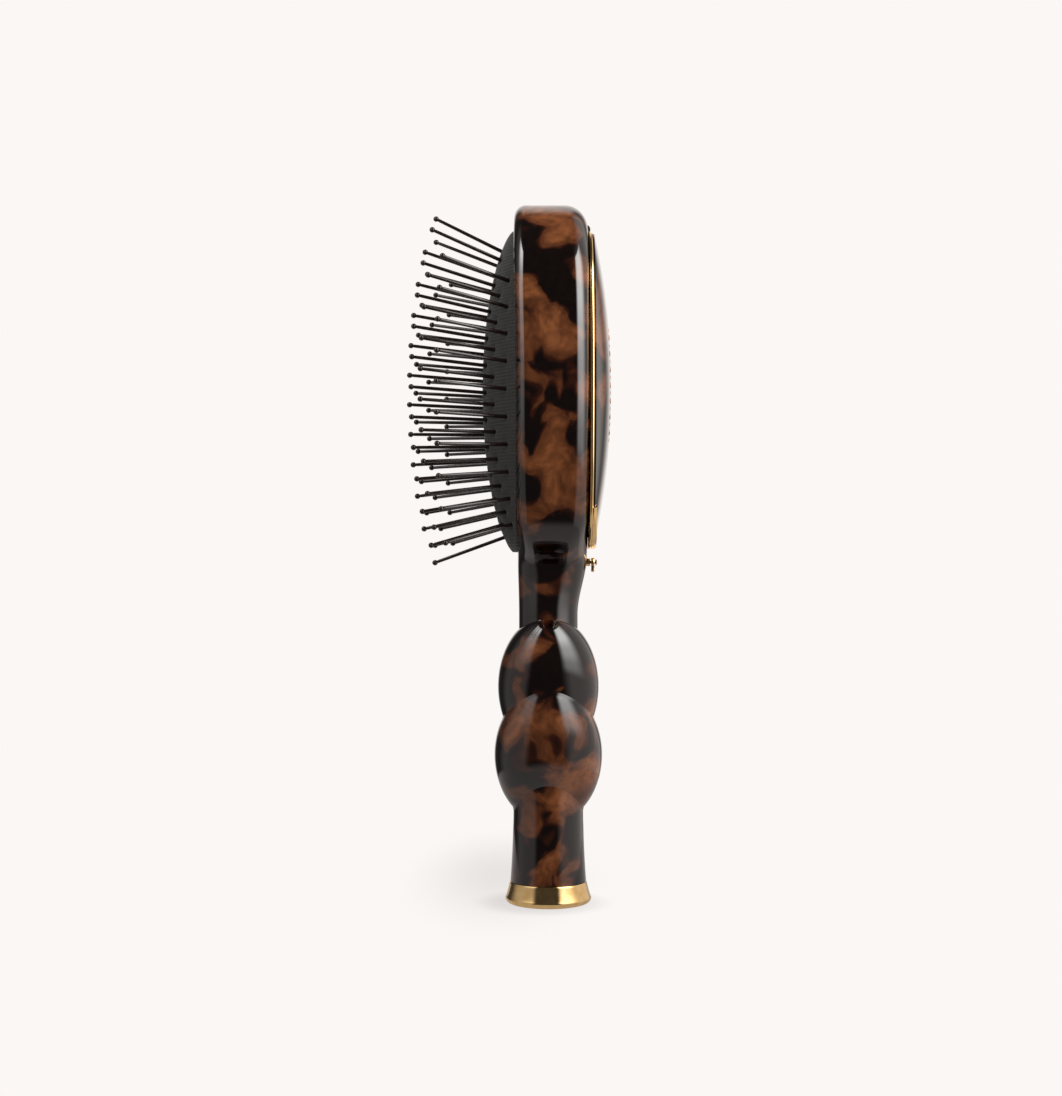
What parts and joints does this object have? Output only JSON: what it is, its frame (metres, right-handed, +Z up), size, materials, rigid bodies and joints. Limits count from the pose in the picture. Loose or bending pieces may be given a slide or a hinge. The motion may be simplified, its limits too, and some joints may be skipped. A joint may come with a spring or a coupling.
{
  "type": "vanity hairbrush",
  "caption": "Upright oval hairbrush in mottled acetate with a domed pin cushion, a lobed handle on a flared brass foot and a hinged back lid over a mirror.",
  "frame": {"origin": "centre of the flat bottom of the foot", "axes": "+Z up along the handle, -X towards the pins, +X towards the back lid, Y across the head"},
  "size_m": [0.0586, 0.062, 0.1996],
  "materials": {
    "acetate": "polished, mottled dark brown and amber",
    "brass": "polished",
    "steel": "plain",
    "cushion_rubber": "matte with a fine rib",
    "pins": "glossy",
    "mirror": "silvered glass",
    "card": "matte card",
    "velvet": "short pile"
  },
  "bodies": {
    "brush": {"brush_body": "acetate", "foot_cap": "brass", "foot_stud": "steel", "cushion_pad": "cushion_rubber", "pin_row_1": "pins", "pin_row_2": "pins", "pin_row_3": "pins", "pin_row_4": "pins", "pin_row_5": "pins", "pin_row_6": "pins", "pin_row_7": "pins", "mirror_backing": "card", "mirror_glass": "mirror", "mirror_bezel": "brass", "hinge_leaf_body": "brass", "hinge_pin": "steel", "body_leaf_screw_left": "steel", "body_leaf_screw_right": "steel", "latch_collar": "brass", "latch_rivet": "brass"},
    "lid": {"lid_shell": "acetate", "lid_lining": "velvet", "lid_frame": "brass", "lid_finger_lip": "brass", "hinge_leaf_lid": "brass", "lid_leaf_screw_left": "steel", "lid_leaf_screw_right": "steel"},
    "latch": {"latch_hook": "brass"}
  },
  "joints": [
    {"name": "lid_hinge", "type": "hinge", "parent": "brush", "child": "lid", "pos_m": [0.0104, 0, 0.192], "axis": [0, -1, 0], "range_deg": [0, 105]},
    {"name": "latch_turn", "type": "hinge", "parent": "brush", "child": "latch", "pos_m": [0.01275, 0, 0.0975], "axis": [1, 0, 0], "range_deg": [0, 180]}
  ]
}
